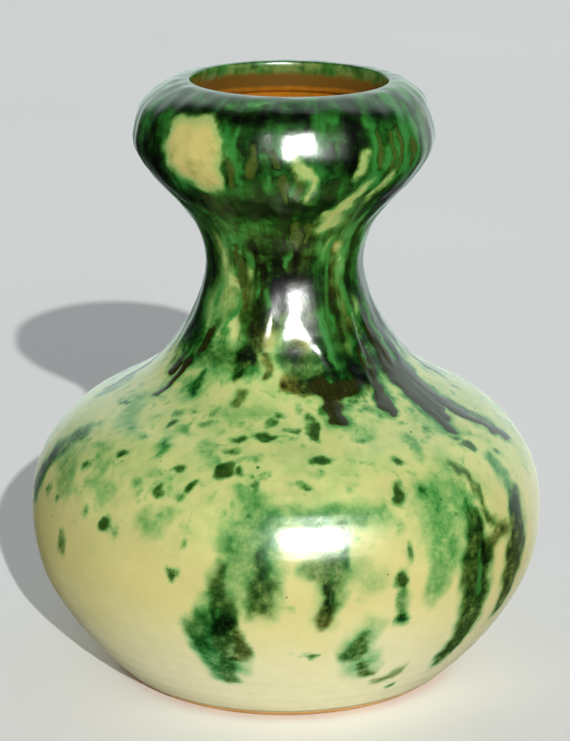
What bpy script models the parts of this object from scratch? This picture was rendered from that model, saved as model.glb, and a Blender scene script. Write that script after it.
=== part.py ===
"""Hand-thrown ceramic bud vase: a round belly, a pinched neck and a bulbous mouth.

Metres, +Z up. The origin is the centre of the foot, on the surface that the vase stands on.
The clay was thrown in four sections and luted together with slip. Over it lie a white slip, a
clear glaze and a running green glaze, and a liner glaze covers the inside.
"""

import math

import bmesh
import bpy
import numpy as np

# Overall sizes
HEIGHT = 0.150
FOOT_RADIUS = 0.0412
BELLY_RADIUS = 0.0645
BELLY_HEIGHT = 0.0403
NECK_RADIUS = 0.0197
NECK_HEIGHT = 0.1046
BULB_RADIUS = 0.0369
BULB_HEIGHT = 0.1348
LIP_RADIUS = 0.0252
MOUTH_RADIUS = 0.0241
MOUTH_EDGE_HEIGHT = 0.1495

# Outside, from the foot up to the top of the lip beside the mouth, as (radius, height)
OUTSIDE = (
    (FOOT_RADIUS, 0.0),
    (0.0515, 0.0106),
    (0.0614, 0.0256),
    (BELLY_RADIUS, BELLY_HEIGHT),
    (0.0619, 0.0549),
    (0.0526, 0.0665),
    (0.0386, 0.0747),
    (0.0310, 0.0804),
    (0.0252, 0.0886),
    (NECK_RADIUS, NECK_HEIGHT),
    (0.0227, 0.1160),
    (0.0301, 0.1242),
    (BULB_RADIUS, BULB_HEIGHT),
    (0.0363, 0.1412),
    (0.0339, 0.1459),
    (0.0299, 0.1488),
    (0.0268, 0.14995),
    (LIP_RADIUS, HEIGHT),
)

# Cavity, from the edge of the mouth down to the middle of the floor
FLOOR_HEIGHT = 0.0075
BORE_RADIUS = 0.0137
CAVITY = (
    (MOUTH_RADIUS, MOUTH_EDGE_HEIGHT),
    (0.0242, 0.1470),
    (0.0249, 0.1430),
    (0.0267, 0.1393),
    (0.0300, 0.1360),
    (0.0308, 0.1325),
    (0.0262, 0.1265),
    (0.0182, 0.1170),
    (BORE_RADIUS, NECK_HEIGHT),
    (0.0190, 0.0880),
    (0.0262, 0.0776),
    (0.0360, 0.0700),
    (0.0490, 0.0615),
    (0.0570, 0.0520),
    (0.0588, BELLY_HEIGHT),
    (0.0558, 0.0275),
    (0.0460, 0.0150),
    (0.0300, 0.0085),
    (0.0, FLOOR_HEIGHT),
)

# The mouth sits off the axis of the bulb, towards +X, as it does on a hand-thrown pot
MOUTH_OFFSET = 0.00135
OFFSET_FROM = 0.143

# Coats, from the clay outwards, and the gap that keeps neighbouring pieces apart
GAP = 0.0003
SLIP_THICKNESS = 0.0004
GLAZE_THICKNESS = 0.0005
RUN_THICKNESS = 0.0004
LINER_THICKNESS = 0.0005

# The coats above the shoulder lie deeper, which leaves room for the running glaze
RUN_RECESS = GAP + RUN_THICKNESS
RECESS_FROM = 0.068
RECESS_TO = 0.080

# Foot
FOOT_RING_INNER_RADIUS = 0.0345
FOOT_RECESS_DEPTH = 0.0022
FOOT_EDGE = 0.0007
BARE_CLAY_HEIGHT = 0.0016

# Seams between the thrown sections
BELLY_SEAM_HEIGHT = BELLY_HEIGHT
NECK_SEAM_HEIGHT = 0.0825
BULB_SEAM_HEIGHT = 0.1165
SEAM_THICKNESS = 0.0008

# Drips of the running glaze, as (degrees round from +X, lowest height, half width in degrees)
DRIP_BASE_HEIGHT = 0.0800
DRIPS = (
    (20, 0.0715, 6),
    (52, 0.0660, 5),
    (80, 0.0740, 8),
    (112, 0.0645, 5),
    (150, 0.0720, 7),
    (178, 0.0690, 5),
    (210, 0.0765, 6),
    (236, 0.0770, 7),
    (263, 0.0775, 6),
    (288, 0.0735, 6),
    (310, 0.0745, 4),
    (326, 0.0730, 6),
    (347, 0.0700, 5),
)
DRIP_CUTTER_COLUMNS = 120
DRIP_CUTTER_INNER_RADIUS = 0.010
DRIP_CUTTER_OUTER_RADIUS = 0.080

# Mesh fineness
SEGMENTS = 28
SAMPLES_PER_SPAN = 16
MOST_TURN = math.radians(20)
MOST_STEP = 0.012

ON_AXIS = 1e-6


def clear_scene():
    for obj in list(bpy.data.objects):
        bpy.data.objects.remove(obj, do_unlink=True)


def smooth_curve(stations):
    """A centripetal Catmull-Rom curve through the stations, as an array of (radius, height)."""
    points = np.array(stations, float)
    points = np.vstack([2 * points[0] - points[1], points, 2 * points[-1] - points[-2]])
    curve = []
    for p0, p1, p2, p3 in zip(points, points[1:], points[2:], points[3:]):
        t1 = np.linalg.norm(p1 - p0) ** 0.5
        t2 = t1 + np.linalg.norm(p2 - p1) ** 0.5
        t3 = t2 + np.linalg.norm(p3 - p2) ** 0.5
        t = np.linspace(t1, t2, SAMPLES_PER_SPAN, endpoint=False)[:, None]
        a1 = ((t1 - t) * p0 + t * p1) / t1
        a2 = ((t2 - t) * p1 + (t - t1) * p2) / (t2 - t1)
        a3 = ((t3 - t) * p2 + (t - t2) * p3) / (t3 - t2)
        b1 = ((t2 - t) * a1 + t * a2) / t2
        b2 = ((t3 - t) * a2 + (t - t1) * a3) / (t3 - t1)
        curve.append(((t2 - t) * b1 + (t - t1) * b2) / (t2 - t1))
    curve.append(points[-2][None])
    return np.vstack(curve)


def left_normals(curve):
    """Unit normals to the left of the direction in which the curve runs."""
    along = np.gradient(curve, axis=0)
    along /= np.linalg.norm(along, axis=1)[:, None]
    return np.stack([-along[:, 1], along[:, 0]], axis=1)


def needed_rows(curve):
    """Indices of the points that keep each step short and each turn gentle."""
    along = np.diff(curve, axis=0)
    heading = np.unwrap(np.arctan2(along[:, 1], along[:, 0]))
    rows = [0]
    for i in range(1, len(curve) - 1):
        turn = abs(heading[i] - heading[rows[-1]])
        step = np.linalg.norm(curve[i + 1] - curve[rows[-1]])
        if turn > MOST_TURN or step > MOST_STEP:
            rows.append(i)
    return rows + [len(curve) - 1]


def smooth_step(low, high, value):
    share = np.clip((value - low) / (high - low), 0, 1)
    return share * share * (3 - 2 * share)


class Wall:
    """The two faces of the vase's wall, and the layers that lie in between."""

    def __init__(self):
        outside = smooth_curve(OUTSIDE)
        rows = needed_rows(outside)
        self.outside = outside[rows]
        self.into_wall = left_normals(outside)[rows]
        recess = RUN_RECESS * smooth_step(RECESS_FROM, RECESS_TO, self.outside[:, 1])
        self.glazed = self.outside + self.into_wall * recess[:, None]

        cavity = smooth_curve(CAVITY)
        rows = needed_rows(cavity)
        self.cavity = cavity[rows]
        self.from_cavity = left_normals(cavity)[rows]
        self.from_cavity[-1] = (0, -1)

    def under_glaze(self, depth):
        """The outside, at this depth under the face of the outer glaze."""
        return self.glazed + self.into_wall * depth

    def behind_liner(self, depth):
        """The cavity's face, at this depth into the wall."""
        return self.cavity + self.from_cavity * depth


def between_heights(curve, low, high):
    """The part of a curve between two heights, with its ends cut level."""
    kept = []
    for a, b in zip(curve, curve[1:]):
        for height in sorted((low, high), reverse=bool(a[1] > b[1])):
            if min(a[1], b[1]) < height < max(a[1], b[1]):
                kept.append(a + (b - a) * (height - a[1]) / (b[1] - a[1]))
        if low <= b[1] <= high:
            kept.append(b)
    if low <= curve[0][1] <= high:
        kept.insert(0, curve[0])
    return kept


def from_arc_length(curve, start):
    """A curve without its first stretch of the given length."""
    steps = np.linalg.norm(np.diff(curve, axis=0), axis=1)
    run = np.concatenate([[0], np.cumsum(steps)])
    first = [np.interp(start, run, curve[:, 0]), np.interp(start, run, curve[:, 1])]
    return np.vstack([first, curve[run > start]])


def turned_solid(name, loop, material):
    """Revolves a closed (radius, height) loop round Z as one object."""
    mesh = bmesh.new()
    verts = [mesh.verts.new((radius, 0, height)) for radius, height in loop]
    edges = [mesh.edges.new((a, b)) for a, b in zip(verts, verts[1:])]
    if loop[0][0] > ON_AXIS:
        edges.append(mesh.edges.new((verts[-1], verts[0])))
    bmesh.ops.spin(
        mesh,
        geom=verts + edges,
        cent=(0, 0, 0),
        axis=(0, 0, 1),
        angle=math.tau,
        steps=SEGMENTS,
        use_merge=True,
    )
    bmesh.ops.remove_doubles(mesh, verts=mesh.verts, dist=ON_AXIS)
    for vert in mesh.verts:
        vert.co.x += MOUTH_OFFSET * smooth_step(OFFSET_FROM, HEIGHT, vert.co.z)
    bmesh.ops.recalc_face_normals(mesh, faces=mesh.faces)
    return finished_object(name, mesh, material)


def finished_object(name, mesh, material):
    data = bpy.data.meshes.new(name)
    mesh.to_mesh(data)
    mesh.free()
    data.materials.append(material)
    data.shade_smooth()
    data.set_sharp_from_angle(angle=math.radians(40))
    obj = bpy.data.objects.new(name, data)
    bpy.context.scene.collection.objects.link(obj)
    return obj


def principled(name, colour, roughness, coat=0.0):
    material = bpy.data.materials.new(name)
    material.use_nodes = True
    shader = material.node_tree.nodes["Principled BSDF"]
    shader.inputs["Base Color"].default_value = (*colour, 1)
    shader.inputs["Roughness"].default_value = roughness
    shader.inputs["Metallic"].default_value = 0
    shader.inputs["Coat Weight"].default_value = coat
    return material


def clay_faces(wall):
    """The outer and the inner face of the clay."""
    outer = wall.under_glaze(GLAZE_THICKNESS + SLIP_THICKNESS + 2 * GAP)
    inner = wall.behind_liner(LINER_THICKNESS + GAP)
    return outer, inner


def clay_rising(outer):
    """The outer face of the clay as far as the top of the lip."""
    return outer[: outer[:, 1].argmax() + 1]


def ring_of_wall(wall, low, high):
    """The loop of the clay wall between two heights."""
    outer, inner = clay_faces(wall)
    return between_heights(clay_rising(outer), low, high) + between_heights(inner, low, high)


def belly_bowl(wall, clay):
    """The lower half of the belly, with the floor and the trimmed foot."""
    outer, inner = clay_faces(wall)
    top = BELLY_SEAM_HEIGHT - SEAM_THICKNESS / 2 - GAP
    bare = between_heights(wall.outside, 0, BARE_CLAY_HEIGHT)
    foot = [
        (0, FOOT_RECESS_DEPTH),
        (FOOT_RING_INNER_RADIUS - FOOT_RECESS_DEPTH, FOOT_RECESS_DEPTH),
        (FOOT_RING_INNER_RADIUS, 0),
        (FOOT_RADIUS - FOOT_EDGE, 0),
        (FOOT_RADIUS + FOOT_EDGE / 2, FOOT_EDGE),
        bare[-1],
    ]
    under_coats = from_arc_length(clay_rising(outer), bare_length(wall))
    loop = foot + between_heights(under_coats, 0, top) + between_heights(inner, 0, top)
    return turned_solid("belly_bowl", loop, clay)


def bare_length(wall):
    """How far the bare clay reaches up the outside from the foot."""
    bare = np.array(between_heights(wall.outside, 0, BARE_CLAY_HEIGHT))
    return np.linalg.norm(np.diff(bare, axis=0), axis=1).sum()


def shoulder_dome(wall, clay):
    low = BELLY_SEAM_HEIGHT + SEAM_THICKNESS / 2 + GAP
    high = NECK_SEAM_HEIGHT - SEAM_THICKNESS / 2 - GAP
    return turned_solid("shoulder_dome", ring_of_wall(wall, low, high), clay)


def neck_collar(wall, clay):
    low = NECK_SEAM_HEIGHT + SEAM_THICKNESS / 2 + GAP
    high = BULB_SEAM_HEIGHT - SEAM_THICKNESS / 2 - GAP
    return turned_solid("neck_collar", ring_of_wall(wall, low, high), clay)


def mouth_bulb(wall, clay):
    """The bulb, which turns in over the cavity to a lip with a crisp inner edge."""
    outer, inner = clay_faces(wall)
    low = BULB_SEAM_HEIGHT + SEAM_THICKNESS / 2 + GAP
    rim = outer[-1][1]
    loop = between_heights(outer[:-1], low, HEIGHT) + between_heights(inner, low, rim)
    return turned_solid("mouth_bulb", loop, clay)


def seam_slip(name, wall, height, material):
    """A ring of luting slip between two thrown sections."""
    half = SEAM_THICKNESS / 2
    return turned_solid(name, ring_of_wall(wall, height - half, height + half), material)


def outside_coat(name, wall, depth, thickness, material):
    """A coat over the outside, from just above the bare clay to the top of the lip."""
    start = bare_length(wall) + GAP
    front = from_arc_length(wall.under_glaze(depth), start)
    back = from_arc_length(wall.under_glaze(depth + thickness), start)
    return turned_solid(name, [*front, *back[::-1]], material)


def drip_edge_height(angle):
    """Height of the running glaze's lower edge at an angle round from +X."""
    height = DRIP_BASE_HEIGHT
    for degrees, lowest, half_width in DRIPS:
        away = (math.degrees(angle) - degrees + 180) % 360 - 180
        if abs(away) < half_width:
            fall = math.cos(math.pi / 2 * away / half_width) ** 0.7
            height = min(height, DRIP_BASE_HEIGHT - (DRIP_BASE_HEIGHT - lowest) * fall)
    return height


def drip_cutter():
    """A crown that takes away everything below the running glaze's lower edge."""
    mesh = bmesh.new()
    rings = []
    for column in range(DRIP_CUTTER_COLUMNS):
        angle = math.tau * column / DRIP_CUTTER_COLUMNS
        top = drip_edge_height(angle)
        corners = (
            (DRIP_CUTTER_INNER_RADIUS, top),
            (DRIP_CUTTER_INNER_RADIUS, -GAP),
            (DRIP_CUTTER_OUTER_RADIUS, -GAP),
            (DRIP_CUTTER_OUTER_RADIUS, top),
        )
        rings.append([
            mesh.verts.new((radius * math.cos(angle), radius * math.sin(angle), height))
            for radius, height in corners
        ])
    for near, far in zip(rings, rings[1:] + rings[:1]):
        for i in range(4):
            j = (i + 1) % 4
            mesh.faces.new((near[i], near[j], far[j], far[i]))
    bmesh.ops.recalc_face_normals(mesh, faces=mesh.faces)
    data = bpy.data.meshes.new("drip_cutter")
    mesh.to_mesh(data)
    mesh.free()
    cutter = bpy.data.objects.new("drip_cutter", data)
    bpy.context.scene.collection.objects.link(cutter)
    cutter.hide_render = True
    cutter.display_type = "WIRE"
    return cutter


def run_glaze(wall, material):
    """The running glaze over the lip, the bulb and the neck, cut to its drips."""
    front = wall.under_glaze(-GAP - RUN_THICKNESS)
    back = wall.under_glaze(-GAP)
    lowest = min(height for _, height, _ in DRIPS) - MOST_STEP / 2
    kept = wall.glazed[:, 1] > lowest
    glaze = turned_solid("run_glaze", [*front[kept], *back[kept][::-1]], material)
    cutter = drip_cutter()
    trim = glaze.modifiers.new("drips", "BOOLEAN")
    trim.operation = "DIFFERENCE"
    trim.solver = "EXACT"
    trim.object = cutter
    return glaze, cutter


def liner_glaze(wall, material):
    """The glaze on the inside, from the edge of the mouth to the middle of the floor."""
    face = wall.behind_liner(0)
    back = wall.behind_liner(LINER_THICKNESS)
    return turned_solid("liner_glaze", [*back[::-1], *face], material)


def build():
    clear_scene()
    wall = Wall()
    clay = principled("orange_clay", (0.62, 0.33, 0.13), 0.75)
    luting = principled("luting_slip", (0.55, 0.31, 0.14), 0.8)
    white_slip = principled("white_slip", (0.80, 0.76, 0.62), 0.7)
    cream = principled("cream_glaze", (0.72, 0.68, 0.40), 0.12, coat=0.5)
    green = principled("green_brown_glaze", (0.03, 0.16, 0.07), 0.15, coat=0.5)
    amber = principled("amber_glaze", (0.48, 0.20, 0.05), 0.2, coat=0.3)

    pieces = [
        belly_bowl(wall, clay),
        shoulder_dome(wall, clay),
        neck_collar(wall, clay),
        mouth_bulb(wall, clay),
        seam_slip("belly_seam_slip", wall, BELLY_SEAM_HEIGHT, luting),
        seam_slip("neck_seam_slip", wall, NECK_SEAM_HEIGHT, luting),
        seam_slip("bulb_seam_slip", wall, BULB_SEAM_HEIGHT, luting),
        outside_coat("white_slip_coat", wall, GLAZE_THICKNESS + GAP, SLIP_THICKNESS, white_slip),
        outside_coat("outer_glaze", wall, 0, GLAZE_THICKNESS, cream),
        *run_glaze(wall, green),
        liner_glaze(wall, amber),
    ]
    vase = bpy.data.objects.new("bud_vase", None)
    bpy.context.scene.collection.objects.link(vase)
    for piece in pieces:
        piece.parent = vase


build()
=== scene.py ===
"""Looks of the ceramic bud vase: fine glaze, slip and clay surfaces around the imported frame.

Profiles and painting are worked out in millimetres, and the finished meshes are in metres.
Azimuth is in degrees round the vase from its front, -Y, positive towards +X.
"""

import math

import bpy
import numpy as np
from mathutils import Euler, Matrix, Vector


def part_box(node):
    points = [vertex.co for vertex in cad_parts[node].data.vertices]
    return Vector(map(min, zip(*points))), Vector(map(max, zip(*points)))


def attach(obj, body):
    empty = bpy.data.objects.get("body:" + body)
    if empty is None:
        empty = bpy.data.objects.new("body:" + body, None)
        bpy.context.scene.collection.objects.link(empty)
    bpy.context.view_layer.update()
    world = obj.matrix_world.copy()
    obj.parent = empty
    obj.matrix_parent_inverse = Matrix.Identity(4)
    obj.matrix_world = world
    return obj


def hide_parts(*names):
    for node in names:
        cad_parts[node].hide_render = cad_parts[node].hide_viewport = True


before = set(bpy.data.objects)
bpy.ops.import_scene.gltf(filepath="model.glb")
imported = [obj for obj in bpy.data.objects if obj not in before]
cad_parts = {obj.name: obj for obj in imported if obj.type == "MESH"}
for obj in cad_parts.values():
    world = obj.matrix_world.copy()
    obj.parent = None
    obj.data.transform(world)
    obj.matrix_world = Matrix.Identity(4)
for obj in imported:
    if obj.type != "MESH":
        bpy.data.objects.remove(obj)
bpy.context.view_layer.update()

MM = 0.001

# Fineness of the visual surfaces
GLAZE_COLUMNS = 400
GLAZE_ROWS = 206
BACK_ROWS = 40
CROWDING = 0.4
LINER_COLUMNS = 224
LINER_ROWS = 140
CLAY_COLUMNS = 256

# How the skins fit together, in mm
GLAZE_DEPTH = 0.5
LIP_DEPTH = 0.3
INNER_LAP = 7.5
LAP_OVER = 1.5
LAP_DROP = 0.15
RUN_FADE = (68.0, 80.0)

# The mouth's lean, in mm: its sideways offset is in the CAD, its slight tilt is only in the skins
MOUTH_OFFSET = 1.35
OFFSET_RISE = (143.0, 150.0)
LIP_TILT = 0.0125
LIP_LIFT = 0.4
TILT_RISE = (138.0, 149.5)
LIP_CORNER = (24.42, 149.86)

# Colourants: the share of red, green and blue that a unit of each takes out of the light
COPPER = (2.2, 0.86, 1.5)
MANGANESE = (1.25, 1.42, 2.2)

# Painted marks. Heights and sizes are in mm.
# Where the running coat thins out, as (azimuth, height)
COAT_EDGE = (
    (-170, 86), (-150, 90), (-128, 83), (-108, 89), (-90, 88), (-76, 84), (-60, 86), (-48, 92),
    (-40, 92), (-33, 95), (-28, 90), (-24, 86), (-18, 87), (-13, 89), (-8, 93), (5, 93),
    (12, 92), (17, 88), (20, 84), (24, 80), (30, 78), (40, 79), (44, 84), (48, 92), (53, 95),
    (57, 88), (62, 82), (70, 80), (78, 82), (92, 84), (110, 88), (128, 81), (146, 89), (168, 84),
)

# Pale places in the coat, as (azimuth, height, half width, half height, share of the coat lost)
PALE = (
    (-47, 109, 2.2, 4.5, 0.75), (-39, 103, 2.4, 3.6, 0.85), (-27, 106, 1.6, 2.6, 0.70),
    (-45, 98, 3.6, 6.0, 0.60), (-33, 93, 2.8, 5.0, 0.80), (-7, 89, 2.0, 5.0, 0.60),
    (38, 112, 1.6, 2.4, 0.65), (42, 109, 1.2, 2.2, 0.50), (54, 94, 1.3, 6.0, 0.80),
    (52, 88, 3.0, 4.2, 0.80), (19, 83.2, 2.0, 1.2, 0.50), (-56, 96, 3.0, 8.0, 0.50),
    (38, 88, 1.4, 3.0, 0.50), (28, 120, 4.2, 3.2, 0.85), (30, 113, 1.6, 4.0, 0.55),
    (-42, 101, 6.0, 9.0, 0.62), (43, 106, 2.4, 5.6, 0.40), (42, 95, 2.0, 4.0, 0.50),
    (-50, 112, 3.0, 5.0, 0.50),
    (150, 100, 3.0, 7.0, 0.60), (205, 104, 2.4, 6.0, 0.60), (118, 97, 2.6, 6.0, 0.70),
    (240, 95, 3.0, 6.0, 0.65), (71, 144, 1.8, 6.0, 0.45), (-78, 141, 2.6, 3.5, 0.50),
)

# Clouds of colourant in the coat, as (azimuth, height, half width, half height, copper, manganese)
CLOUDS = (
    # bulb
    (-58.5, 135, 4.0, 8.5, 0.3, 2.7), (-42, 146.8, 5.5, 1.9, 0.0, 2.0), (4, 147, 3.6, 1.6, 0.1, 1.5),
    (-17, 146.6, 8.6, 2.3, 0.1, 2.5), (-16.5, 141.6, 1.6, 1.1, 0.0, 1.2),
    (-27, 148.2, 2.2, 0.8, -0.8, -1.2), (-13, 149.2, 3.0, 0.7, -0.9, -1.2),
    (-3, 138, 1.8, 1.6, -0.5, 0.9), (9, 146, 1.0, 4.5, 0.2, 1.3),
    (26.5, 141, 3.3, 9.0, 0.2, 2.8), (17, 134, 2.6, 6.0, 0.4, 0.5),
    (49, 140, 9.0, 9.0, 0.1, -0.5), (40.5, 146.4, 2.8, 2.8, 0.4, 1.1),
    (72, 140, 4.0, 8.0, -0.6, 0.6), (75, 140.5, 2.6, 3.0, 0.2, 1.8),
    (-72, 134, 3.6, 8.0, -0.3, 0.7), (-45, 124.5, 8.0, 4.0, 0.4, 1.1),
    (-5, 124.4, 15.0, 5.4, 0.5, 1.9), (38, 127, 4.5, 3.0, 0.3, 1.1),
    (60, 126, 7.0, 4.5, 0.3, 1.1), (-22, 133, 1.6, 5.0, 0.1, 1.1),
    # neck
    (-60, 108, 2.6, 9.0, 0.3, 1.2), (-33.5, 108, 1.4, 3.6, -0.5, 0.7),
    (-25.5, 99.5, 1.5, 5.0, -0.6, 1.2), (-18.5, 108, 1.4, 10.5, -0.3, 2.0),
    (-15, 92.5, 3.2, 5.0, -0.4, 1.8), (-9, 112, 2.2, 6.0, 0.3, 0.9),
    (5, 107, 4.8, 14.0, -0.4, 2.0), (-9, 104, 3.0, 10.0, 0.3, 1.2), (21.5, 104.5, 3.0, 8.0, 0.4, 0.4),
    (24, 89.5, 2.4, 7.0, 0.5, 0.2), (16, 93, 1.6, 6.0, -0.3, 0.8),
    (35.5, 106.5, 1.4, 9.0, -0.6, 1.1), (40, 94, 2.8, 6.0, -0.4, 0.8),
    (37, 82, 3.2, 3.4, -0.2, 1.8), (50, 104, 1.2, 6.0, 0.1, 1.2),
    (66, 97, 4.0, 14.0, 0.5, 0.3), (77, 100, 2.6, 10.0, 0.2, 1.3),
    (-74, 102, 4.0, 12.0, 0.4, 0.9), (-20, 86.6, 2.8, 1.9, -0.1, 1.7),
    (-59.5, 84.5, 2.4, 1.5, 0.8, 0.9), (7, 88, 3.0, 5.0, -0.2, 1.0),
)

# Soft runs, as (softness, copper, manganese, chain of (azimuth, height, half width))
SOFT_RUNS = (
    # under the neck
    (1.9, 0.10, 1.5, ((3, 81.6, 2.2), (10, 80.8, 3.0), (16, 81.6, 2.4))),
    (1.1, 0.25, 0.9, ((-9, 88, 0.9), (-9, 83, 1.1))),
    (1.2, 0.30, 0.9, ((-22.5, 84, 0.8), (-23, 82, 0.9))),
    (1.1, 0.80, 0.4, ((-42, 81.5, 0.9), (-42, 78.5, 1.0))),
    (1.2, 0.50, 0.8, ((-19, 79.2, 0.8), (-21, 77.8, 0.9))),
    (1.8, 0.55, 0.0, ((33, 74.8, 1.3), (37, 74.2, 1.2))),
    (2.6, 0.35, 0.0, ((-36, 82, 2.6), (-44, 78, 2.2))),
    (2.4, 0.45, 0.0, ((-66, 74, 1.6), (-58, 71, 2.2), (-52, 70, 1.2))),
    (2.6, 0.45, 0.1, ((-66, 60, 2.2), (-61, 56, 2.0))),
    (2.2, 0.35, 0.0, ((-50, 60, 1.4), (-45, 58, 1.4))),
    (2.4, 0.40, 0.0, ((20, 74, 1.8), (26, 72, 1.6))),
    (2.2, 0.40, 0.0, ((-24, 70, 1.6), (-20, 68, 1.2))),
    (2.2, 0.40, 0.0, ((48, 72, 1.6), (52, 69, 1.6))),
    (2.2, 0.30, 0.0, ((-6, 76.4, 1.0), (-20, 75.6, 1.2))),
    (2.2, 0.95, 0.7, ((53, 92, 2.6), (56, 86, 3.6), (59, 79, 3.4), (58, 74, 2.4), (55.6, 70, 1.4))),
    (2.2, 0.85, 0.7, ((66, 88, 3.4), (67, 80, 3.0), (68, 73, 2.0), (74, 66, 1.4))),
    (1.8, 0.80, 0.3, ((46, 88, 2.4), (45, 83, 2.2), (42, 76, 1.6))),
    (2.2, 0.85, 0.4, ((2, 87, 2.4), (10, 85, 3.2), (18, 84, 3.6), (28, 84, 3.4))),
    (2.4, 0.85, 0.4, ((-66, 90, 3.0), (-56, 87, 3.2), (-46, 86, 2.4), (-34, 86, 2.4), (-22, 85, 2.6))),
    # upper belly, right
    (1.5, 0.45, 0.0, ((38.5, 69.8, 0.8), (38, 66.6, 0.9))),
    (2.2, 0.55, 0.0, ((43, 63.5, 0.9), (43.5, 58, 1.6), (45, 52, 1.8))),
    (0.9, 0.55, 0.7, ((45.5, 64.4, 0.4), (48, 61, 0.6), (49.5, 57, 0.6), (49.2, 54, 0.7), (50.5, 51, 1.1), (53, 49.4, 0.6))),
    (2.6, 0.65, 0.0, ((33, 61, 1.2), (34.5, 55, 2.6), (35, 47, 3.0), (34, 39, 1.6))),
    (3.2, 0.40, 0.0, ((38, 60, 2.4), (39, 52, 3.2), (40, 44, 2.4))),
    (1.8, 0.90, 0.0, ((61, 62, 1.0), (62, 56, 1.8), (62, 51, 1.8))),
    (2.0, 0.60, 1.1, ((63, 52, 2.6), (62, 45, 4.4), (60.5, 38, 4.4), (59.5, 31, 2.6), (59, 24, 1.0))),
    (1.9, 0.40, 0.9, ((56, 47, 1.2), (51, 45, 2.2), (48, 43, 2.4))),
    (2.0, 0.75, 1.0, ((45.4, 52, 1.6), (45, 45, 3.6), (45.4, 38, 4.6), (46, 30, 4.2), (46, 21, 3.2), (44, 12.5, 1.3))),
    (2.4, 0.30, 0.3, ((48, 40, 1.8), (47, 30, 1.8))),
    # upper belly, left
    (2.0, 0.55, 0.0, ((-36.4, 70, 1.0), (-35.4, 68.6, 1.1))),
    (2.4, 0.40, 0.0, ((-55, 65.4, 1.2), (-51, 63.8, 1.6))),
    (2.2, 0.45, 0.0, ((-33, 54.6, 1.4), (-30, 53.6, 1.8), (-27.6, 56.4, 0.8))),
    (1.8, 0.40, 0.0, ((-11.4, 63, 1.0), (-10.6, 62.4, 1.0))),
    (2.0, 0.95, 0.5, ((-70, 66, 2.2), (-74, 61, 3.0))),
    (1.8, 0.90, 1.0, ((-76, 59, 2.2), (-78, 50, 2.8))),
    (1.4, 0.60, 0.7, ((-58, 44.6, 0.6), (-58.4, 41.4, 0.9))),
    # front of the belly
    (3.2, 0.60, 0.06, ((-7, 60, 2.4), (-8, 54, 5.0), (-6.8, 46, 5.0), (-6, 40, 3.6))),
    (2.0, 0.35, 0.1, ((-12.5, 53, 1.0), (-12, 50.6, 1.0))),
    (2.0, 0.30, 0.0, ((-4, 58, 0.9), (-4, 47, 1.2))),
    (2.8, 0.30, 0.7, ((-5.4, 50, 1.0), (-5, 42, 2.8), (-5.4, 37.6, 3.0))),
    (2.2, 0.30, 0.0, ((-3, 58, 2.0), (6, 58, 1.6), (16, 58, 1.8), (22, 57, 1.6))),
    (1.4, 0.35, 0.1, ((2.5, 58, 1.2), (7.5, 57.6, 1.2))),
    (1.6, 0.35, 0.1, ((11, 58.6, 1.4), (16, 57.4, 1.8))),
    (2.6, 0.25, 0.0, ((14, 46, 1.8), (19, 43, 1.8))),
    (2.6, 0.60, 0.45, ((5, 47, 1.4), (9.4, 46.6, 2.8), (9.2, 42, 2.4), (8.8, 38, 1.6))),
    (1.5, 0.40, 1.2, ((8.8, 42, 1.4), (8.7, 38, 1.5), (8.4, 35.5, 1.5), (8.2, 33.3, 2.2))),
    (0.8, 0.60, 0.5, ((12.3, 56.4, 0.7), (12.6, 52, 0.5), (12.3, 48, 0.5))),
    (1.9, 0.75, 0.8, ((-13.6, 46, 0.6), (-14, 41, 2.0), (-14, 36, 2.8), (-14, 32, 2.6))),
    (1.8, 0.70, 0.35, ((-17, 34, 2.0), (-20, 30, 2.8), (-19, 26.4, 1.8))),
    (2.0, 0.60, 0.2, ((-19, 26, 1.6), (-17, 22, 2.0), (-15.6, 17, 1.6))),
    (1.9, 0.65, 0.8, ((-14, 31, 2.4), (-14.2, 26, 1.8), (-14, 20, 1.4), (-13.8, 15, 1.1))),
    (1.5, 0.55, 1.1, ((-11.6, 32, 1.6), (-10.2, 27, 1.5), (-9.6, 23.6, 1.9), (-11.6, 22.6, 1.0))),
    (2.4, 0.35, 0.0, ((-16.5, 38, 2.0), (-17, 22, 2.4), (-12, 19, 2.2))),
    (2.8, 0.45, 0.0, ((19, 31, 1.0), (16.4, 25, 3.0), (18.4, 18, 3.0))),
    (1.9, 0.45, 0.7, ((17, 27, 1.4), (15.6, 23, 2.4))),
    (1.6, 0.30, 0.8, ((18.6, 19, 1.0), (19.2, 16.4, 1.2), (22, 15.4, 0.7))),
    (1.4, 0.30, 0.6, ((24, 12, 0.6), (28, 13, 0.9), (31, 15, 0.5))),
    (1.2, 0.80, 0.3, ((25, 38.5, 0.9), (25, 35, 1.0), (25, 31.6, 1.3))),
    (2.0, 0.30, 0.0, ((32.5, 37, 1.0), (32.5, 35, 1.0))),
)

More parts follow.
